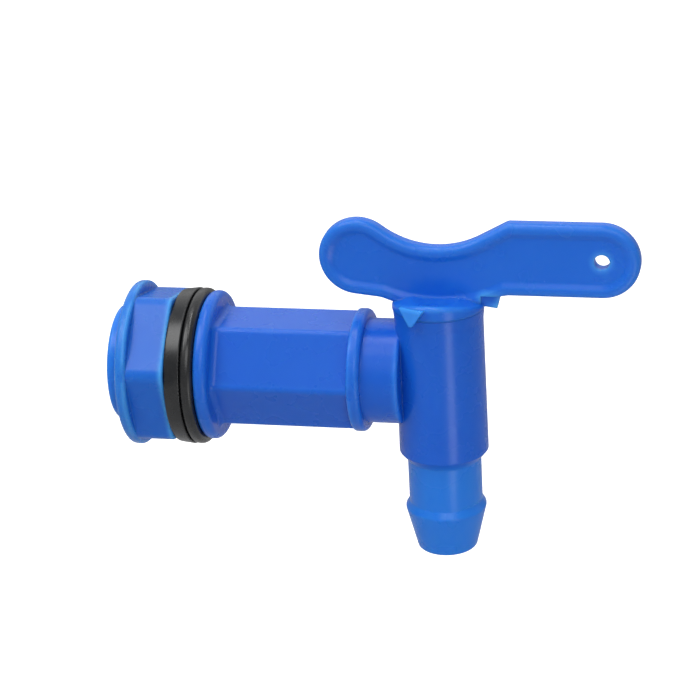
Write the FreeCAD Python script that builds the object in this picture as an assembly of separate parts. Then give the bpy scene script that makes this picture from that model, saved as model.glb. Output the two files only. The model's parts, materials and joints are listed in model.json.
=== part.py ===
import FreeCAD, Part
import math
import os

# Lever tap for a water butt, in moulded plastic, with a hose tail.
# The inlet runs along X and the barrel of the key stands along Z.
# The origin is the middle of the sealing face of the flange, on the inlet axis.
# The spigot points to -X, towards the inside of the butt. All sizes are in mm.

os.makedirs("parts", exist_ok=True)

Vector = FreeCAD.Vector
X_AXIS = Vector(1, 0, 0)
Y_AXIS = Vector(0, 1, 0)
Z_AXIS = Vector(0, 0, 1)
FULL_TURN = 360.0
HALF_TURN = 180.0
QUARTER_TURN = 90.0

# Clearances between pieces
running_gap = 0.06
face_gap = 0.06
stop_gap = 0.15
free_gap = 0.3

# Inlet: spigot, flange, hexagon, collar and plain pipe
spigot_length = 19.55
thread_root_r = 12.35
thread_crest_r = 13.15
spigot_bore_r = 10.0
spigot_end_round = 0.7
flange_r = 15.85
flange_t = 2.9
flange_back_round = 1.2
flange_front_round = 1.3
hex_across_flats = 22.1
hex_corner_round = 1.3
hex_length = 29.2
hex_root_round = 1.2
inlet_bore_r = 8.8
collar_r = 13.0
collar_t = 2.6
collar_round = 1.0
pipe_step_back = 7.4
pipe_end_round = 0.6
key_axis_x = 49.9

# Barrel, its neck and the hose tail
barrel_top_r = 9.25
barrel_foot_r = 9.46
barrel_lip_r = 9.55
barrel_lip_h = 2.8
barrel_top_z = 15.1
barrel_foot_z = -17.15
barrel_chamfer_h = 2.0
neck_r = 7.82
neck_length = 9.75
barb_r = 8.6
barb_rise = 1.4
barb_land = 0.4
barb_length = 9.4
tip_r = 6.3
tip_round = 0.9
outlet_bore_r = 5.0

# Tapered bore for the plug of the key
plug_bore_top_r = 7.6
plug_bore_foot_r = 7.2
plug_bore_foot_z = -16.6
port_r = 4.7
port_wall = 2.4
snap_z = -13.0
snap_h = 1.6
snap_depth = 0.35

# Stop lugs on the barrel and the tab on the key that runs between them
lug_top_half_w = 2.9
lug_tip_half_w = 0.4
lug_tip_drop = 0.85
lug_top_r = 10.6
lug_tip_r = 11.0
tab_half_t = 0.8
tab_root = 1.4
tab_reach = 12.4
tab_toe_rise = 0.6
tab_heel = 1.4
key_travel = 90.0

# Key: ring that covers the barrel, plug below it, blade above it
ring_r = 9.65
ring_crown_rise = 3.2
ring_crown_r = 22.0
ring_edge_round = 0.8
dish_depth = 1.05
dish_rim_w = 0.9
plug_wall = 1.6
plug_roof_drop = 0.5

# Blade outline, measured from the key axis
blade_t = 3.8
blade_edge_round = 1.2
lobe_x = -16.45
lobe_rise = 10.65
lobe_r = 8.2
saddle_drop = 5.6
ramp_slope = 28.5
ramp_top_round = 2.0
bar_rise = 5.55
bar_foot_rise = 3.05
bar_foot_round = 4.0
bar_end_x = 34.15
belly_drop = 0.5
belly_r = 30.0
belly_left_x = -11.7
belly_left_round = 6.0
web_depth = 0.6
web_rim_w = 1.9
web_slope_w = 1.2
cord_hole_r = 1.6

# Backnut
nut_across_flats = 30.4
nut_corner_round = 3.0
nut_corner_turn = 12.9
nut_hex_length = 8.0
nut_flange_r = 17.55
nut_flange_t = 2.4
nut_flange_round = 1.1
nut_edge_round = 0.4
nut_bore_r = 13.3
nut_bore_chamfer = 0.8

# Rubber washers, which hang a little low on the thread
washer_bore_r = 13.5
thick_washer_left_r = 16.35
thick_washer_right_r = 16.75
thick_washer_t = 3.4
thick_washer_left_round = 0.5
thick_washer_right_round = 0.25
thin_washer_r = 16.65
thin_washer_t = 2.6
thin_washer_left_round = 1.0
thin_washer_right_round = 1.2

# Heights and places that follow from the sizes above
pipe_r = hex_across_flats / 2
collar_x = flange_t + hex_length
pipe_end_x = key_axis_x - pipe_step_back
neck_top_z = barrel_foot_z - barrel_chamfer_h
neck_foot_z = neck_top_z - neck_length
barb_top_z = neck_foot_z - barb_rise
barb_foot_z = barb_top_z - barb_land
tip_z = barb_foot_z - barb_length
ring_foot_z = barrel_top_z + face_gap
ring_crown_z = barrel_top_z + ring_crown_rise
dish_mouth_r = ring_r - dish_rim_w
dish_r = (dish_mouth_r ** 2 + dish_depth ** 2) / (2 * dish_depth)
lug_tip_z = barrel_top_z - lug_tip_drop
plug_roof_z = barrel_top_z - plug_roof_drop
plug_foot_z = plug_bore_foot_z + free_gap
washer_drop = washer_bore_r - thread_crest_r
lobe_z = barrel_top_z + lobe_rise
belly_z = barrel_top_z - belly_drop
bar_foot_z = barrel_top_z + bar_foot_rise
lug_top_z = bar_foot_z - free_gap
saddle_z = lobe_z + lobe_r - saddle_drop
bar_top_z = saddle_z + bar_rise
nut_x = -thin_washer_t - thick_washer_t
bar_end_r = (bar_top_z - bar_foot_z) / 2
overlap = 0.5
beyond = 5.0
same_place = 0.01


def cylinder_x(radius, x_from, x_to):
    return Part.makeCylinder(radius, x_to - x_from, Vector(x_from, 0, 0), X_AXIS)


def turned_about_key(profile):
    points = [Vector(key_axis_x + radius, 0, z) for radius, z in profile]
    face = Part.Face(Part.makePolygon(points + points[:1]))
    return face.revolve(Vector(key_axis_x, 0, 0), Z_AXIS, FULL_TURN)


def hexagon_x(across_flats, first_corner, x_from, length):
    corner_r = across_flats / math.sqrt(3)
    points = []
    for step in range(6):
        turn = math.radians(first_corner + step * FULL_TURN / 6)
        points.append(Vector(x_from, -corner_r * math.cos(turn), corner_r * math.sin(turn)))
    face = Part.Face(Part.makePolygon(points + points[:1]))
    return face.extrude(Vector(length, 0, 0))


def rim_edges(shape, x, radius):
    found = []
    for edge in shape.Edges:
        if not isinstance(edge.Curve, Part.Circle):
            continue
        on_plane = abs(edge.Curve.Center.x - x) < same_place
        if on_plane and abs(edge.Curve.Radius - radius) < same_place:
            found.append(edge)
    return found


def edges_along_x(shape):
    return [edge for edge in shape.Edges if edge.BoundBox.YLength + edge.BoundBox.ZLength < same_place]


def edges_on_x_plane(shape, x, reach):
    found = []
    for edge in shape.Edges:
        box = edge.BoundBox
        inside = max(-box.YMin, box.YMax, -box.ZMin, box.ZMax) < reach
        if box.XLength < same_place and abs(box.XMin - x) < same_place and inside:
            found.append(edge)
    return found


def ring_with_round_rim(radius, x_from, x_to, left_round, right_round):
    ring = cylinder_x(radius, x_from, x_to)
    ring = ring.makeFillet(left_round, rim_edges(ring, x_from, radius))
    return ring.makeFillet(right_round, rim_edges(ring, x_to, radius))


def plug_profile(gap, foot_z, top_z):
    # Radius of the tapered bore at a height, less the gap asked for
    slope = (plug_bore_top_r - plug_bore_foot_r) / (barrel_top_z - plug_bore_foot_z)
    foot_r = plug_bore_foot_r + slope * (foot_z - plug_bore_foot_z) - gap
    top_r = plug_bore_foot_r + slope * (top_z - plug_bore_foot_z) - gap
    return [(0, foot_z), (foot_r, foot_z), (top_r, top_z), (0, top_z)]


def snap_ring(gap):
    # Bead on the plug that clicks into a groove of the bore, wider by the gap
    outer_r = plug_bore_foot_r + snap_depth + gap
    half_h = snap_h / 2 + gap
    inner_r = plug_bore_foot_r - overlap
    return turned_about_key([
        (inner_r, snap_z - half_h - snap_depth),
        (outer_r, snap_z - half_h),
        (outer_r, snap_z + half_h),
        (inner_r, snap_z + half_h + snap_depth),
    ])


# Tap body: one moulding from the spigot to the hose tail

def stop_lug(turn):
    # Tapered tongue that stands on the barrel, just outside the ring of the key
    inner_r = barrel_top_r - overlap
    front = [
        Vector(inner_r, -lug_tip_half_w, lug_tip_z),
        Vector(inner_r, lug_tip_half_w, lug_tip_z),
        Vector(inner_r, lug_top_half_w, lug_top_z),
        Vector(inner_r, -lug_top_half_w, lug_top_z),
    ]
    side = [
        Vector(inner_r, -lug_top_half_w, lug_tip_z),
        Vector(lug_tip_r, -lug_top_half_w, lug_tip_z),
        Vector(lug_top_r, -lug_top_half_w, lug_top_z),
        Vector(inner_r, -lug_top_half_w, lug_top_z),
    ]
    wedge = Part.Face(Part.makePolygon(front + front[:1])).extrude(X_AXIS * (lug_tip_r - inner_r))
    lean = Part.Face(Part.makePolygon(side + side[:1])).extrude(Y_AXIS * 2 * lug_top_half_w)
    lug = wedge.common(lean)
    ring_room = Part.makeCylinder(ring_r + free_gap, beyond, Vector(0, 0, barrel_top_z))
    lug = lug.cut(ring_room)
    lug.rotate(Vector(0, 0, 0), Z_AXIS, turn)
    lug.translate(Vector(key_axis_x, 0, 0))
    return lug


def lug_turns():
    # The tab meets one lug when open and the other when shut
    lug_inner_r = ring_r + free_gap
    half_angles = math.asin(lug_top_half_w / lug_inner_r) + math.asin(tab_half_t / lug_inner_r)
    apart = math.degrees(half_angles + stop_gap / lug_inner_r)
    return (apart, -key_travel - apart)


def tap_body():
    spigot = cylinder_x(thread_root_r, -spigot_length, overlap)
    spigot = spigot.makeFillet(spigot_end_round, rim_edges(spigot, -spigot_length, thread_root_r))
    flange = ring_with_round_rim(flange_r, 0, flange_t, flange_back_round, flange_front_round)
    hexagon = hexagon_x(hex_across_flats, 0, flange_t - overlap, hex_length + 2 * overlap)
    hexagon = hexagon.makeFillet(hex_corner_round, edges_along_x(hexagon))
    collar = ring_with_round_rim(collar_r, collar_x, collar_x + collar_t, collar_round / 2, collar_round)
    pipe = cylinder_x(pipe_r, collar_x + overlap, pipe_end_x)
    pipe = pipe.makeFillet(pipe_end_round, rim_edges(pipe, pipe_end_x, pipe_r))
    inlet = spigot.fuse([flange, hexagon, collar, pipe]).removeSplitter()
    inlet = inlet.makeFillet(hex_root_round, edges_on_x_plane(inlet, flange_t, collar_r))

    barrel = turned_about_key([
        (0, barrel_top_z),
        (barrel_lip_r, barrel_top_z),
        (barrel_top_r, barrel_top_z - barrel_lip_h),
        (barrel_foot_r, barrel_foot_z),
        (neck_r, neck_top_z),
        (neck_r, neck_foot_z),
        (barb_r, barb_top_z),
        (barb_r, barb_foot_z),
        (tip_r, tip_z),
        (0, tip_z),
    ])
    tip_edges = [edge for edge in barrel.Edges if edge.BoundBox.ZMax < tip_z + same_place]
    barrel = barrel.makeFillet(tip_round, tip_edges)
    lugs = [stop_lug(turn) for turn in lug_turns()]
    body = inlet.fuse([barrel] + lugs)

    waist_x = key_axis_x - plug_bore_top_r - port_wall
    hollows = [
        cylinder_x(spigot_bore_r, -spigot_length - beyond, 0),
        cylinder_x(inlet_bore_r, -overlap, waist_x),
        cylinder_x(port_r, waist_x - overlap, key_axis_x),
        turned_about_key(plug_profile(0, plug_bore_foot_z, barrel_top_z + beyond)),
        snap_ring(running_gap),
        Part.makeCylinder(outlet_bore_r, plug_bore_foot_z - tip_z + beyond + overlap,
                          Vector(key_axis_x, 0, tip_z - beyond), Z_AXIS),
    ]
    return body.cut(hollows).removeSplitter()


# Key: blade, ring and hollow plug in one moulding

def blade_point(x, z):
    return Vector(key_axis_x + x, 0, z)


def arc_about(x, z, radius, from_deg, to_deg):
    points = []
    for share in (0, 0.5, 1):
        turn = math.radians(from_deg + (to_deg - from_deg) * share)
        points.append(blade_point(x + radius * math.cos(turn), z + radius * math.sin(turn)))
    return Part.Arc(*points).toShape()


def blade_outline(inset):
    # Outline of the blade and its three sharp corners, drawn smaller all round by the inset.
    # The saddle is an arc that touches the round lobe and ends in a straight ramp.
    rise = saddle_z - lobe_z
    saddle_r = (lobe_x ** 2 + rise ** 2 - lobe_r ** 2) / (2 * (lobe_r - rise))
    saddle_mid_z = saddle_z + saddle_r
    lobe_to_saddle = math.degrees(math.atan2(saddle_mid_z - lobe_z, -lobe_x))
    saddle = arc_about(0, saddle_mid_z, saddle_r + inset, lobe_to_saddle - HALF_TURN, ramp_slope - QUARTER_TURN)
    ramp_foot = saddle.Vertexes[-1].Point
    ramp_run = (bar_top_z - inset - ramp_foot.z) / math.tan(math.radians(ramp_slope))
    ramp_top = Vector(ramp_foot.x + ramp_run, 0, bar_top_z - inset)

    # The foot of the lobe is a line that touches the round lobe and ends on the belly
    belly_mid = blade_point(0, belly_z + belly_r)
    lobe_mid = blade_point(lobe_x, lobe_z)
    to_left = belly_mid + Vector(belly_left_x, 0, -math.sqrt(belly_r ** 2 - belly_left_x ** 2)) - lobe_mid
    touch_turn = math.atan2(to_left.z, to_left.x) - math.acos(lobe_r / to_left.Length)
    touch = lobe_mid + Vector(math.cos(touch_turn), 0, math.sin(touch_turn)) * (lobe_r - inset)
    along = Vector(-math.sin(touch_turn), 0, math.cos(touch_turn))
    from_mid = touch - belly_mid
    halfway = -from_mid.dot(along)
    run = halfway - math.sqrt(halfway ** 2 - from_mid.dot(from_mid) + (belly_r - inset) ** 2)
    belly_left = touch + along * run
    left_turn = math.degrees(math.atan2(belly_left.z - belly_mid.z, belly_left.x - belly_mid.x))
    foot_turn = math.degrees(math.asin((bar_foot_z + inset - belly_mid.z) / (belly_r - inset)))
    belly = arc_about(0, belly_z + belly_r, belly_r - inset, foot_turn, left_turn)
    belly_right = belly.Vertexes[0].Point
    lobe = arc_about(lobe_x, lobe_z, lobe_r - inset, math.degrees(touch_turn), lobe_to_saddle - FULL_TURN)
    bar_end = arc_about(bar_end_x, bar_foot_z + bar_end_r, bar_end_r - inset, QUARTER_TURN, -QUARTER_TURN)
    outline = Part.Wire([
        saddle,
        Part.makeLine(ramp_foot, ramp_top),
        Part.makeLine(ramp_top, bar_end.Vertexes[0].Point),
        bar_end,
        Part.makeLine(bar_end.Vertexes[1].Point, belly_right),
        belly,
        Part.makeLine(belly_left, touch),
        lobe,
    ])
    return outline, (ramp_top, belly_right, belly_left)


def blade_plate():
    # Flat plate of the outline, with its three sharp corners rounded
    outline, corners = blade_outline(0)
    plate = Part.Face(outline).extrude(Y_AXIS * blade_t)
    plate.translate(Y_AXIS * -blade_t / 2)
    for place, radius in zip(corners, (ramp_top_round, bar_foot_round, belly_left_round)):
        at_corner = []
        for edge in plate.Edges:
            box = edge.BoundBox
            near = abs(box.XMin - place.x) + abs(box.ZMin - place.z) < same_place
            if near and box.XLength + box.ZLength < same_place:
                at_corner.append(edge)
        plate = plate.makeFillet(radius, at_corner)
    return plate


def web_cutter(side):
    # Shallow dish with sloping sides, cut from one face of the blade
    mouth = blade_outline(web_rim_w)[0]
    floor = blade_outline(web_rim_w + web_slope_w)[0]
    outside = mouth.copy()
    outside.translate(Y_AXIS * side * (blade_t / 2 + overlap))
    mouth.translate(Y_AXIS * side * blade_t / 2)
    floor.translate(Y_AXIS * side * (blade_t / 2 - web_depth))
    slope = Part.makeLoft([mouth, floor], True, True)
    return slope.fuse(Part.makeLoft([outside, mouth], True, True))


def blade():
    plate = blade_plate()
    outer_edges = [edge for edge in plate.Edges if edge.BoundBox.YLength < same_place]
    plate = plate.makeFillet(blade_edge_round, outer_edges)
    plate = plate.cut([web_cutter(-1), web_cutter(1)])
    # The belly ends at the foot of the ring, and beside the ring only the tab hangs down
    room = 2 * beyond
    below = Part.makeBox(2 * room, 2 * room, room, Vector(key_axis_x - room, -room, ring_foot_z - room))
    beside = Part.makeBox(room, 2 * room, room, Vector(key_axis_x + ring_r - overlap, -room, bar_foot_z - room))
    return plate.cut([below, beside])


def edges_of_crown(ring):
    found = []
    for edge in ring.Edges:
        if edge.Length < same_place or edge.BoundBox.ZMin < ring_foot_z + face_gap:
            continue
        middle = edge.valueAt((edge.FirstParameter + edge.LastParameter) / 2)
        on_wall = abs(math.hypot(middle.x - key_axis_x, middle.y) - ring_r) < same_place
        if on_wall and not isinstance(edge.Curve, Part.Line):
            found.append(edge)
    return found


def key_ring():
    # The crown falls away to both ends of the blade and is dished beside it
    ring = Part.makeCylinder(ring_r, ring_crown_z + overlap - ring_foot_z,
                             Vector(key_axis_x, 0, ring_foot_z), Z_AXIS)
    crown = Part.makeCylinder(ring_crown_r, 2 * (ring_r + overlap),
                              Vector(key_axis_x, -ring_r - overlap, ring_crown_z - ring_crown_r), Y_AXIS)
    # A quarter turn keeps the seam of the crown away from the ring, so the edge can be rounded
    crown.rotate(Vector(key_axis_x, 0, ring_crown_z - ring_crown_r), Y_AXIS, QUARTER_TURN)
    dish = Part.makeSphere(dish_r, Vector(key_axis_x, 0, ring_crown_z - dish_depth + dish_r))
    ring = ring.common(crown).cut(dish)
    return ring.makeFillet(ring_edge_round, edges_of_crown(ring))


def key_tab():
    inner_x = ring_r - tab_root
    points = [
        blade_point(inner_x, bar_foot_z + overlap),
        blade_point(inner_x, ring_foot_z + tab_toe_rise),
        blade_point(tab_reach, ring_foot_z),
        blade_point(tab_reach + tab_toe_rise, bar_foot_z - tab_heel / 2),
        blade_point(tab_reach + tab_heel, bar_foot_z + overlap),
    ]
    face = Part.Face(Part.makePolygon(points + points[:1]))
    tab = face.extrude(Y_AXIS * 2 * tab_half_t)
    tab.translate(Y_AXIS * -tab_half_t)
    return tab


def tap_key():
    plug = turned_about_key(plug_profile(running_gap, plug_foot_z, ring_foot_z + overlap))
    solid = key_ring().fuse([plug, snap_ring(0), key_tab()])
    solid = solid.fuse(blade()).removeSplitter()
    hollow_r = plug_bore_foot_r - plug_wall
    cord_hole_at = blade_point(bar_end_x, bar_foot_z + bar_end_r) - Y_AXIS * blade_t
    hollows = [
        Part.makeCylinder(hollow_r, plug_roof_z - plug_foot_z + beyond,
                          Vector(key_axis_x, 0, plug_foot_z - beyond), Z_AXIS),
        cylinder_x(port_r, key_axis_x - ring_r, key_axis_x),
        Part.makeCylinder(cord_hole_r, 2 * blade_t, cord_hole_at, Y_AXIS),
    ]
    return solid.cut(hollows)


# Backnut: hexagon with rounded corners and a round flange, screwed on the spigot

def backnut():
    hex_from = nut_x - nut_hex_length
    hexagon = hexagon_x(nut_across_flats, nut_corner_turn, hex_from - overlap, nut_hex_length + overlap)
    hexagon = hexagon.makeFillet(nut_corner_round, edges_along_x(hexagon))
    hexagon = hexagon.makeFillet(nut_edge_round, edges_on_x_plane(hexagon, nut_x, nut_across_flats))
    flange = ring_with_round_rim(nut_flange_r, hex_from - nut_flange_t, hex_from,
                                 nut_flange_round, nut_flange_round / 2)
    nut = hexagon.fuse(flange).removeSplitter()
    end_x = hex_from - nut_flange_t
    wide_r = nut_bore_r + nut_bore_chamfer
    hollows = [cylinder_x(nut_bore_r, end_x - beyond, nut_x + beyond)]
    hollows.append(Part.makeCone(wide_r, nut_bore_r, nut_bore_chamfer, Vector(end_x, 0, 0), X_AXIS))
    hollows.append(Part.makeCone(nut_bore_r, wide_r, nut_bore_chamfer, Vector(nut_x - nut_bore_chamfer, 0, 0), X_AXIS))
    return nut.cut(hollows)


# Rubber washers: a thick one under the nut and a thin one against the flange

def washer(left_r, right_r, x_from, x_to, left_round, right_round):
    if left_r == right_r:
        ring = cylinder_x(left_r, x_from, x_to)
    else:
        ring = Part.makeCone(left_r, right_r, x_to - x_from, Vector(x_from, 0, 0), X_AXIS)
    ring = ring.makeFillet(left_round, rim_edges(ring, x_from, left_r))
    ring = ring.makeFillet(right_round, rim_edges(ring, x_to, right_r))
    ring = ring.cut(cylinder_x(washer_bore_r, x_from - beyond, x_to + beyond))
    ring.translate(Z_AXIS * -washer_drop)
    return ring


pieces = {
    "tap_body": tap_body(),
    "key": tap_key(),
    "backnut": backnut(),
    "thick_washer": washer(thick_washer_left_r, thick_washer_right_r, nut_x, -thin_washer_t,
                           thick_washer_left_round, thick_washer_right_round),
    "thin_washer": washer(thin_washer_r, thin_washer_r, -thin_washer_t, 0,
                          thin_washer_left_round, thin_washer_right_round),
}

for name, shape in pieces.items():
    solids = shape.Solids
    print(name, "solids", len(solids), "valid", shape.isValid(), "volume", round(shape.Volume))
    solids[0].exportStep("parts/" + name + ".step")
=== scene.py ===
import json
import math

import bmesh
import bpy
from mathutils import Matrix, Vector


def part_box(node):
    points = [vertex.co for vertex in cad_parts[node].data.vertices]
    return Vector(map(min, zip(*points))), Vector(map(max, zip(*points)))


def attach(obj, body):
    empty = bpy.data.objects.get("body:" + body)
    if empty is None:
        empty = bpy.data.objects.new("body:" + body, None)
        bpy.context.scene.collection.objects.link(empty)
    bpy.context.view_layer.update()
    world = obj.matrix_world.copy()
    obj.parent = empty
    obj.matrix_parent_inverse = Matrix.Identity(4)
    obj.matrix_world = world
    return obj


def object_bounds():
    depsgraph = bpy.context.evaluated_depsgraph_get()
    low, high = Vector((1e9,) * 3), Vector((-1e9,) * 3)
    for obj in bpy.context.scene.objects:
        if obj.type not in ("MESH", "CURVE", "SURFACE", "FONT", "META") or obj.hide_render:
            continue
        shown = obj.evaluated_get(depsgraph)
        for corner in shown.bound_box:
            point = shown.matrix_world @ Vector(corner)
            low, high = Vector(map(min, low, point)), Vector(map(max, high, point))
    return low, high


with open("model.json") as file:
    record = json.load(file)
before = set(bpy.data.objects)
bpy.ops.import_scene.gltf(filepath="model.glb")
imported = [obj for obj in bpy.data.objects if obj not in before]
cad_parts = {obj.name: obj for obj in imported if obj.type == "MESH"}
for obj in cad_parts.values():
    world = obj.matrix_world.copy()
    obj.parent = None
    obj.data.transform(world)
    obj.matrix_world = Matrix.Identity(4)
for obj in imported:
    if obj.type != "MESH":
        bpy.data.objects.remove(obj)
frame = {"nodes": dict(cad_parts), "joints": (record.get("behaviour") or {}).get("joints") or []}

cad_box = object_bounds()

# Tap body: spigot, flange, hexagonal grip, pipe, barrel and hose tail in one blue moulding.
# Polypropylene, semi-gloss and a little translucent: thin edges get a painted glow, and the hose tail and
# spigot mouth get painted light.
# It comes out of a polished mould with faint flow marks, eased edges and a very fine grain.
mm = 0.001
moulded_blue = (0.0075, 0.1180, 0.6200, 1)
deep_blue = (0.0068, 0.1090, 0.5900, 1)
# painted glow: the lighter blue painted on thin parts in place of light through them
painted_glow_blue = (0.0500, 0.3350, 0.9600, 1)
# painted light: the lighter blue tinted onto the hose tail and spigot mouth
painted_hollow_light_blue = (0.0140, 0.1900, 0.7200, 1)
skin_depth = (0.25 * mm, 0.8 * mm, 1.9 * mm)
body_gloss = 0.27
body_edge_ease = 0.5 * mm
# painted glow: how deep the shader looks for the far side of the wall, and how much of the painted glow
# colour thin parts get
painted_glow_depth = 1.5 * mm
painted_glow_share = 0.90
thick_reading = 0.95
thin_reading = 0.35
key_axis_x = next(joint["pos_m"][0] for joint in frame["joints"] if joint["name"] == "key_turn")
# where the painted glow is kept off and where it is full, by distance from the key's axis and by height
painted_glow_off_within_r = 9.72 * mm
painted_glow_full_beyond_r = 11.3 * mm
painted_glow_off_below_z = 16.2 * mm
painted_glow_full_above_z = 17.4 * mm
# where the painted light on the hose tail and spigot mouth begins and where it is full
tail_from_z = -17.4 * mm
tail_full_z = -19.6 * mm
mouth_from_x = -16.4 * mm
mouth_full_x = -18.2 * mm
flow_marks = {"Scale": 55.0, "Detail": 3.0}
flow_band = (0.2, 0.8)
gloss_patches = {"Scale": 130.0, "Detail": 3.0}
gloss_less, gloss_more = 0.04, 0.05
mould_swell = {"Scale": 160.0, "Detail": 1.0}
swell_relief = {"Strength": 0.12, "Distance": 0.02 * mm}
mould_grain = {"Scale": 2600.0, "Detail": 2.0}
grain_relief = {"Strength": 0.10, "Distance": 0.012 * mm}
plastic_skin = {"IOR": 1.49, "Specular_IOR_Level": 0.32}
plastic_depth = {"Subsurface_Weight": 0.35, "Subsurface_Radius": skin_depth, "Subsurface_Scale": 1.0}
shader_samples = 6


def add_node(tree, kind, place, **settings):
    node = tree.nodes.new(kind)
    node.location = place
    for name, value in settings.items():
        setattr(node, name, value)
    return node


def fill(node, **values):
    for name, value in values.items():
        node.inputs[name.replace("_", " ")].default_value = value
    return node


def empty_material(name):
    material = bpy.data.materials.new(name)
    material.use_nodes = True
    material.node_tree.nodes.clear()
    return material


def noise(tree, spot, place, values):
    """A noise texture at a place of the node sheet, read at the spot on the surface."""
    texture = fill(add_node(tree, "ShaderNodeTexNoise", place), **values)
    tree.links.new(spot, texture.inputs["Vector"])
    return texture.outputs["Fac"]


def two_tone(tree, amount, place, band, dark, light):
    """A colour between dark and light, as the amount goes through the band."""
    spread = add_node(tree, "ShaderNodeValToRGB", place)
    for stop, position, colour in zip(spread.color_ramp.elements, band, (dark, light)):
        stop.position = position
        stop.color = colour
    tree.links.new(amount, spread.inputs["Fac"])
    return spread.outputs["Color"]


def moulded_plastic(name, light, dark, painted_glow_colour, gloss, edge_ease, tail=None):
    """Coloured polypropylene: flow marks, uneven gloss, fine grain, eased edges, a painted glow on thin
    parts, and painted light on the hollow ends when a tint for them is given.
    """
    material = empty_material(name)
    tree = material.node_tree
    link = tree.links.new
    spot = add_node(tree, "ShaderNodeTexCoord", (-1500, 0)).outputs["Object"]
    split = add_node(tree, "ShaderNodeSeparateXYZ", (-1050, 450))
    link(spot, split.inputs["Vector"])
    flow = noise(tree, spot, (-1050, 200), flow_marks)
    colour = two_tone(tree, flow, (-820, 200), flow_band, dark, light)

    # Painted light: the hose tail and the mouth of the spigot are hollow and stand free, so light fills
    # them, and they are tinted a lighter blue for it
    if tail:
        share = add_node(tree, "ShaderNodeMapRange", (-820, 450), interpolation_type="SMOOTHSTEP")
        fill(share, From_Min=tail_from_z, From_Max=tail_full_z)
        mouth = add_node(tree, "ShaderNodeMapRange", (-820, 650), interpolation_type="SMOOTHSTEP")
        fill(mouth, From_Min=mouth_from_x, From_Max=mouth_full_x)
        hollow = add_node(tree, "ShaderNodeMath", (-680, 500), operation="MAXIMUM")
        tint = add_node(tree, "ShaderNodeMix", (-560, 300), data_type="RGBA")
        tint.inputs[7].default_value = tail
        link(split.outputs["Z"], share.inputs["Value"])
        link(split.outputs["X"], mouth.inputs["Value"])
        link(share.outputs["Result"], hollow.inputs[0])
        link(mouth.outputs["Result"], hollow.inputs[1])
        link(hollow.outputs[0], tint.inputs["Factor"])
        link(colour, tint.inputs[6])
        colour = tint.outputs[2]

    # Painted glow: thin parts are painted a lighter colour in place of the light that comes through them;
    # the shader reads how near the far side of the wall is
    depth = add_node(tree, "ShaderNodeAmbientOcclusion", (-560, 600), inside=True, samples=shader_samples)
    fill(depth, Distance=painted_glow_depth)
    thin = add_node(tree, "ShaderNodeMapRange", (-380, 600))
    fill(thin, From_Min=thick_reading, From_Max=thin_reading, To_Max=painted_glow_share)
    glow = add_node(tree, "ShaderNodeMix", (-200, 400), data_type="RGBA")
    glow.inputs[7].default_value = painted_glow_colour
    link(depth.outputs["AO"], thin.inputs["Value"])

    # The painted glow is kept off the wall of the barrel and the ring on it, and is painted on what stands
    # off them or above them
    flat = add_node(tree, "ShaderNodeCombineXYZ", (-1050, 850))
    off_axis = add_node(tree, "ShaderNodeVectorMath", (-850, 850), operation="DISTANCE")
    off_axis.inputs[1].default_value = (key_axis_x, 0, 0)
    outside = add_node(tree, "ShaderNodeMapRange", (-650, 850))
    fill(outside, From_Min=painted_glow_off_within_r, From_Max=painted_glow_full_beyond_r)
    above = add_node(tree, "ShaderNodeMapRange", (-650, 1100))
    fill(above, From_Min=painted_glow_off_below_z, From_Max=painted_glow_full_above_z)
    either = add_node(tree, "ShaderNodeMath", (-450, 950), operation="MAXIMUM")
    lit = add_node(tree, "ShaderNodeMath", (-200, 750), operation="MULTIPLY")
    link(split.outputs["X"], flat.inputs["X"])
    link(split.outputs["Y"], flat.inputs["Y"])
    link(flat.outputs["Vector"], off_axis.inputs[0])
    link(off_axis.outputs["Value"], outside.inputs["Value"])
    link(split.outputs["Z"], above.inputs["Value"])
    link(outside.outputs["Result"], either.inputs[0])
    link(above.outputs["Result"], either.inputs[1])
    link(either.outputs[0], lit.inputs[0])
    link(thin.outputs["Result"], lit.inputs[1])
    link(lit.outputs[0], glow.inputs["Factor"])
    link(colour, glow.inputs[6])

    # Uneven gloss, eased edges, and the swell and grain of the mould
    rough = add_node(tree, "ShaderNodeMapRange", (-820, -100))
    fill(rough, To_Min=gloss - gloss_less, To_Max=gloss + gloss_more)
    ease = fill(add_node(tree, "ShaderNodeBevel", (-1050, -650), samples=shader_samples), Radius=edge_ease)
    swell = fill(add_node(tree, "ShaderNodeBump", (-600, -500)), **swell_relief)
    relief = fill(add_node(tree, "ShaderNodeBump", (-380, -500)), **grain_relief)
    link(noise(tree, spot, (-1050, -100), gloss_patches), rough.inputs["Value"])
    link(ease.outputs["Normal"], swell.inputs["Normal"])
    link(noise(tree, spot, (-1050, -450), mould_swell), swell.inputs["Height"])
    link(swell.outputs["Normal"], relief.inputs["Normal"])
    link(noise(tree, spot, (-1050, -850), mould_grain), relief.inputs["Height"])
    skin = fill(add_node(tree, "ShaderNodeBsdfPrincipled", (50, 100)), **plastic_skin, **plastic_depth)
    out = add_node(tree, "ShaderNodeOutputMaterial", (350, 100))
    link(glow.outputs[2], skin.inputs["Base Color"])
    link(rough.outputs["Result"], skin.inputs["Roughness"])
    link(relief.outputs["Normal"], skin.inputs["Normal"])
    link(skin.outputs["BSDF"], out.inputs["Surface"])
    return material


def dress(node_name, material):
    for place in frame["nodes"][node_name].material_slots:
        place.material = material


body_plastic = moulded_plastic(
    "body_plastic", moulded_blue, deep_blue, painted_glow_blue, body_gloss, body_edge_ease, painted_hollow_light_blue
)
dress("tap_body", body_plastic)

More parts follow.
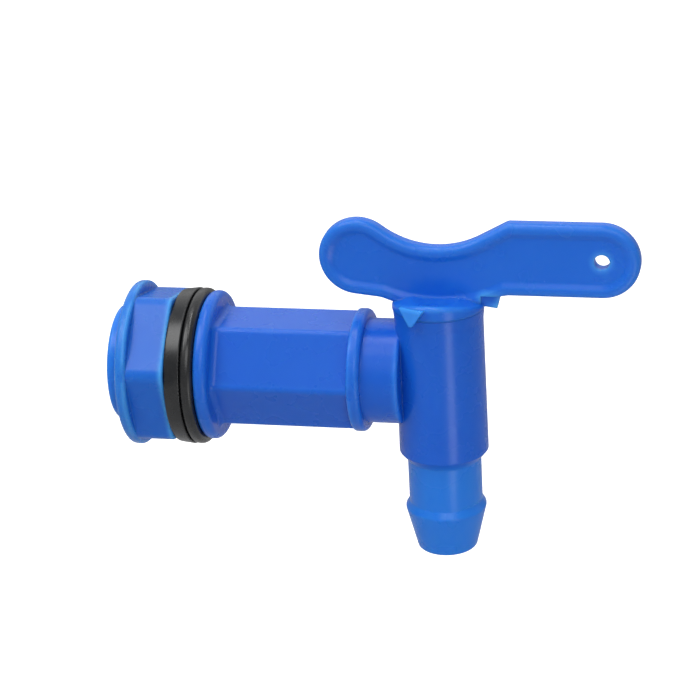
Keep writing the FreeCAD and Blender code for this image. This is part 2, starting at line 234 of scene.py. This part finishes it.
# Male thread on the spigot: a right-hand helical ridge, cut in the same mould as the body.
# It has the pitch of a G 3/4 thread and stops short of the smooth lead-in at the open end.
thread_pitch = 1.814 * mm
thread_root_r = 12.35 * mm
thread_crest_r = 13.15 * mm
thread_start = 0
thread_sink = 0.15 * mm
thread_foot_half_w = 0.55 * mm
thread_crest_half_w = 0.19 * mm
shoulder_w_share, shoulder_h_share = 1.35, 0.80
crown_w_share, crown_h_share = 0.75, 0.97
spigot_end_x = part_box("tap_body")[0].x
lead_in = 3.4 * mm
thread_from_x = spigot_end_x + lead_in
thread_to_x = -0.9 * mm
steps_a_turn = 96
fade_turns = 0.6
least_height = 0.02


def helical_ridge(name, from_x, to_x, foot_r, crest_r, sink_r, phase):
    """A thread's ridge on the X axis, with rounded crest and ends that run out into the wall."""
    half = [
        (thread_foot_half_w, sink_r),
        (thread_foot_half_w, foot_r),
        (thread_crest_half_w * shoulder_w_share, foot_r + (crest_r - foot_r) * shoulder_h_share),
        (thread_crest_half_w * crown_w_share, foot_r + (crest_r - foot_r) * crown_h_share),
    ]
    profile = [(-along, radius) for along, radius in half] + [(0, crest_r)] + half[::-1]
    turns = (to_x - from_x) / thread_pitch
    count = int(turns * steps_a_turn)
    form = bmesh.new()
    last = None
    for step in range(count + 1):
        done = step / steps_a_turn
        full = max(least_height, min(1, done / fade_turns, (turns - done) / fade_turns))
        turn = 2 * math.pi * (from_x / thread_pitch + done + phase)
        ring = []
        for along, radius in profile:
            high = foot_r + (radius - foot_r) * full if radius != sink_r else sink_r
            x = from_x + done * thread_pitch + along
            ring.append(form.verts.new((x, high * math.cos(turn), high * math.sin(turn))))
        if last:
            for i in range(len(profile)):
                j = (i + 1) % len(profile)
                form.faces.new((last[i], last[j], ring[j], ring[i]))
        else:
            form.faces.new(ring)
        last = ring
    form.faces.new(reversed(last))
    bmesh.ops.recalc_face_normals(form, faces=form.faces)
    mesh = bpy.data.meshes.new(name)
    form.to_mesh(mesh)
    form.free()
    for face in mesh.polygons:
        face.use_smooth = True
    piece = bpy.data.objects.new(name, mesh)
    bpy.context.scene.collection.objects.link(piece)
    return piece


male_thread = helical_ridge(
    "spigot_thread",
    thread_from_x,
    thread_to_x,
    thread_root_r,
    thread_crest_r,
    thread_root_r - thread_sink,
    thread_start,
)
male_thread.data.materials.append(body_plastic)
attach(male_thread, "tap")

# Key: the flat lever, its ring over the barrel and the hollow plug, one moulding in the same blue.
# Its colours are painted a little brighter than the body's, as painted light for its thin web and rims
# letting more light through.
key_light_blue = (0.0095, 0.1460, 0.6900, 1)
key_deep_blue = (0.0085, 0.1360, 0.6600, 1)
# painted glow colour for the key's thin parts
key_painted_glow_blue = (0.0850, 0.4200, 0.9000, 1)
key_gloss = 0.26
key_edge_ease = 0.9 * mm
key_plastic = moulded_plastic(
    "key_plastic", key_light_blue, key_deep_blue, key_painted_glow_blue, key_gloss, key_edge_ease
)
dress("key", key_plastic)

# Backnut: a hexagonal nut with a round flange and an internal thread, moulded in the same blue.
# Its ridge lies in the grooves of the spigot's thread and turns with the nut.
nut_light_blue = (0.0090, 0.1400, 0.6300, 1)
nut_deep_blue = (0.0080, 0.1290, 0.5950, 1)
# painted glow colour for the nut's thin parts
nut_painted_glow_blue = (0.1200, 0.5800, 1.0000, 1)
nut_gloss = 0.27
nut_edge_ease = 0.6 * mm
nut_bore_r = 13.3 * mm
nut_thread_r = 12.55 * mm
nut_thread_inset = 1.0 * mm
nut_thread_start = 0.5
nut_plastic = moulded_plastic(
    "nut_plastic", nut_light_blue, nut_deep_blue, nut_painted_glow_blue, nut_gloss, nut_edge_ease
)
dress("backnut", nut_plastic)
nut_low, nut_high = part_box("backnut")
nut_thread = helical_ridge(
    "backnut_thread",
    nut_low.x + nut_thread_inset,
    nut_high.x - nut_thread_inset,
    nut_bore_r,
    nut_thread_r,
    nut_bore_r + thread_sink,
    nut_thread_start,
)
nut_thread.data.materials.append(nut_plastic)
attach(nut_thread, "nut")

# Washers: soft black rubber rings, a thick one under the nut and a thin one against the flange.
# They are cut from moulded tube, matt with a dusty bloom and a faint grain from the cutting.
rubber_black = (0.0070, 0.0078, 0.0095, 1)
rubber_bloom = (0.0240, 0.0232, 0.0228, 1)
rubber_dust = {"Scale": 220.0, "Detail": 6.0, "Roughness": 0.65}
bloom_band = (0.38, 0.85)
rubber_sheen = {"To_Min": 0.20, "To_Max": 0.34}
rubber_grain = {"Scale": 1500.0, "Detail": 4.0}
rubber_relief = {"Strength": 0.3, "Distance": 0.02 * mm}
rubber_ior = 1.52


def soft_rubber(name):
    """Black rubber: a dusty bloom in the colour, uneven sheen and the grain of the cut."""
    material = empty_material(name)
    tree = material.node_tree
    link = tree.links.new
    spot = add_node(tree, "ShaderNodeTexCoord", (-1100, 0)).outputs["Object"]
    dust = noise(tree, spot, (-850, 200), rubber_dust)
    colour = two_tone(tree, dust, (-620, 200), bloom_band, rubber_black, rubber_bloom)
    rough = fill(add_node(tree, "ShaderNodeMapRange", (-620, -100)), **rubber_sheen)
    relief = fill(add_node(tree, "ShaderNodeBump", (-380, -400)), **rubber_relief)
    skin = fill(add_node(tree, "ShaderNodeBsdfPrincipled", (-120, 100)), IOR=rubber_ior)
    out = add_node(tree, "ShaderNodeOutputMaterial", (220, 100))
    link(dust, rough.inputs["Value"])
    link(noise(tree, spot, (-850, -400), rubber_grain), relief.inputs["Height"])
    link(colour, skin.inputs["Base Color"])
    link(rough.outputs["Result"], skin.inputs["Roughness"])
    link(relief.outputs["Normal"], skin.inputs["Normal"])
    link(skin.outputs["BSDF"], out.inputs["Surface"])
    return material


washer_rubber = soft_rubber("washer_rubber")
dress("thick_washer", washer_rubber)
dress("thin_washer", washer_rubber)

# Floor: a plain white sweep some way below the tap, which hangs from its spigot in use.
# It runs up into a backdrop behind, so that the background is one even white.
floor_z = -85 * mm
sweep_half_w = 1.6
sweep_front_y = -1.4
sweep_back_y = 1.1
sweep_bend_r = 0.5
sweep_top_z = 1.6
bend_turn = math.radians(90)
bend_steps = 24
sweep_profile = [(sweep_front_y, floor_z)]
for step in range(bend_steps + 1):
    turn = bend_turn * step / bend_steps
    sweep_profile.append((
        sweep_back_y - sweep_bend_r + sweep_bend_r * math.sin(turn),
        floor_z + sweep_bend_r - sweep_bend_r * math.cos(turn),
    ))
sweep_profile.append((sweep_back_y, sweep_top_z))
sweep_form = bmesh.new()
last_pair = None
for y, z in sweep_profile:
    pair = [sweep_form.verts.new((side * sweep_half_w, y, z)) for side in (-1, 1)]
    if last_pair:
        sweep_form.faces.new((last_pair[0], last_pair[1], pair[1], pair[0]))
    last_pair = pair
sweep_mesh = bpy.data.meshes.new("floor")
sweep_form.to_mesh(sweep_mesh)
sweep_form.free()
for face in sweep_mesh.polygons:
    face.use_smooth = True
floor = bpy.data.objects.new("floor", sweep_mesh)
bpy.context.scene.collection.objects.link(floor)

paper_seen = 0.86
paper_dim = 0.50
paper_lift = 0.60
backdrop_glow = 0.70
backdrop_from_z = 0.02
backdrop_full_z = 0.45
paper = empty_material("white_paper")
paper_tree = paper.node_tree
paper_link = paper_tree.links.new
ray = add_node(paper_tree, "ShaderNodeLightPath", (-900, 250))
tone = add_node(paper_tree, "ShaderNodeMapRange", (-600, 0))
fill(tone, To_Min=paper_dim, To_Max=paper_seen)
matt = add_node(paper_tree, "ShaderNodeBsdfDiffuse", (-350, 0))
spot = add_node(paper_tree, "ShaderNodeNewGeometry", (-900, -300))
height = add_node(paper_tree, "ShaderNodeSeparateXYZ", (-700, -300))
rise = add_node(paper_tree, "ShaderNodeMapRange", (-500, -300), interpolation_type="SMOOTHSTEP")
fill(rise, From_Min=backdrop_from_z, From_Max=backdrop_full_z, To_Max=backdrop_glow)
unseen = add_node(paper_tree, "ShaderNodeMath", (-600, 450), operation="SUBTRACT")
unseen.inputs[0].default_value = 1.0
bright = add_node(paper_tree, "ShaderNodeMath", (-350, 450), operation="MULTIPLY")
lift = add_node(paper_tree, "ShaderNodeMath", (-350, 250), operation="MULTIPLY_ADD")
lift.inputs[1].default_value = paper_lift
glow = add_node(paper_tree, "ShaderNodeEmission", (-100, 250))
both = add_node(paper_tree, "ShaderNodeAddShader", (150, 100))
paper_out = add_node(paper_tree, "ShaderNodeOutputMaterial", (350, 100))
paper_link(ray.outputs["Is Camera Ray"], tone.inputs["Value"])
paper_link(tone.outputs["Result"], matt.inputs["Color"])
paper_link(spot.outputs["Position"], height.inputs["Vector"])
paper_link(height.outputs["Z"], rise.inputs["Value"])
paper_link(ray.outputs["Is Camera Ray"], unseen.inputs[1])
paper_link(unseen.outputs[0], bright.inputs[0])
paper_link(rise.outputs["Result"], bright.inputs[1])
paper_link(ray.outputs["Is Camera Ray"], lift.inputs[0])
paper_link(bright.outputs[0], lift.inputs[2])
paper_link(lift.outputs[0], glow.inputs["Strength"])
paper_link(matt.outputs[0], both.inputs[0])
paper_link(glow.outputs[0], both.inputs[1])
paper_link(both.outputs[0], paper_out.inputs["Surface"])
floor.data.materials.append(paper)

# Light: a room that is dim in front and bright behind, and white where the camera looks past the paper,
# a soft lamp from the left above, one from the front, a weak strip right overhead, and a small panel
# close to the barrel at the right, low down, for the streak on it.
room_front = 0.38
room_back = 0.80
room_from_y = -0.25
room_full_y = 0.75
room_white = (0.96, 0.98, 1.0, 1)
world = bpy.data.worlds.new("studio")
world.use_nodes = True
world_tree = world.node_tree
world_tree.nodes.clear()
world_link = world_tree.links.new
way = add_node(world_tree, "ShaderNodeTexCoord", (-900, 0))
depth_axis = add_node(world_tree, "ShaderNodeSeparateXYZ", (-700, 0))
fade = add_node(world_tree, "ShaderNodeMapRange", (-500, 0), interpolation_type="SMOOTHSTEP")
fill(fade, From_Min=room_from_y, From_Max=room_full_y, To_Min=room_front, To_Max=room_back)
seen = add_node(world_tree, "ShaderNodeLightPath", (-500, 300))
strength = add_node(world_tree, "ShaderNodeMath", (-350, 150), operation="MAXIMUM")
room = add_node(world_tree, "ShaderNodeBackground", (-200, 0))
room.inputs["Color"].default_value = room_white
room_out = add_node(world_tree, "ShaderNodeOutputWorld", (50, 0))
world_link(way.outputs["Generated"], depth_axis.inputs["Vector"])
world_link(depth_axis.outputs["Y"], fade.inputs["Value"])
world_link(seen.outputs["Is Camera Ray"], strength.inputs[0])
world_link(fade.outputs["Result"], strength.inputs[1])
world_link(strength.outputs[0], room.inputs["Strength"])
world_link(room.outputs[0], room_out.inputs["Surface"])
bpy.context.scene.world = world


def soft_lamp(name, place, size, power):
    """A flat lamp that faces the middle of the tap."""
    light = bpy.data.lights.new(name, "AREA")
    light.shape = "RECTANGLE"
    light.size, light.size_y = size
    light.energy = power
    lamp = bpy.data.objects.new(name, light)
    direction = (cad_box[0] + cad_box[1]) / 2 - Vector(place)
    lamp.matrix_world = Matrix.Translation(place) @ direction.to_track_quat("-Z", "Y").to_matrix().to_4x4()
    lamp.visible_camera = False
    bpy.context.scene.collection.objects.link(lamp)


soft_lamp("left_above", place=(-0.34, -0.26, 0.60), size=(0.42, 0.40), power=2.3)
soft_lamp("overhead_strip", place=(-0.03, -0.03, 0.66), size=(0.55, 0.08), power=1.1)
soft_lamp("front_above", place=(0.25, -0.85, 0.60), size=(0.70, 0.50), power=2.8)
soft_lamp("right_low", place=(0.115, -0.101, -0.045), size=(0.034, 0.070), power=0.024)

# Camera: a long lens that looks a little down on the tap, from the front and a little to the right
# of square. It is rolled a few degrees, as the photograph is.
camera_azimuth = math.radians(13.148)
camera_elevation = math.radians(22.735)
camera_roll = math.radians(-3.174)
camera_distance = 524.27 * mm
camera_aim = Vector((30.573 * mm, 0, 4.369 * mm))
camera_lens_mm = 128.16
camera_film_mm = 36
camera_nearest = 10 * mm
back = Vector((
    math.sin(camera_azimuth) * math.cos(camera_elevation),
    -math.cos(camera_azimuth) * math.cos(camera_elevation),
    math.sin(camera_elevation),
))
level_right = (-back).cross(Vector((0, 0, 1))).normalized()
level_up = level_right.cross(-back)
right = math.cos(camera_roll) * level_right + math.sin(camera_roll) * level_up
up = -math.sin(camera_roll) * level_right + math.cos(camera_roll) * level_up
camera_data = bpy.data.cameras.new("camera")
camera_data.lens = camera_lens_mm
camera_data.sensor_width = camera_film_mm
camera_data.clip_start = camera_nearest
camera = bpy.data.objects.new("camera", camera_data)
turned = Matrix((right, up, back)).transposed().to_4x4()
camera.matrix_world = Matrix.Translation(camera_aim + camera_distance * back) @ turned
bpy.context.scene.collection.objects.link(camera)
bpy.context.scene.camera = camera
bpy.context.scene.view_settings.view_transform = "Standard"
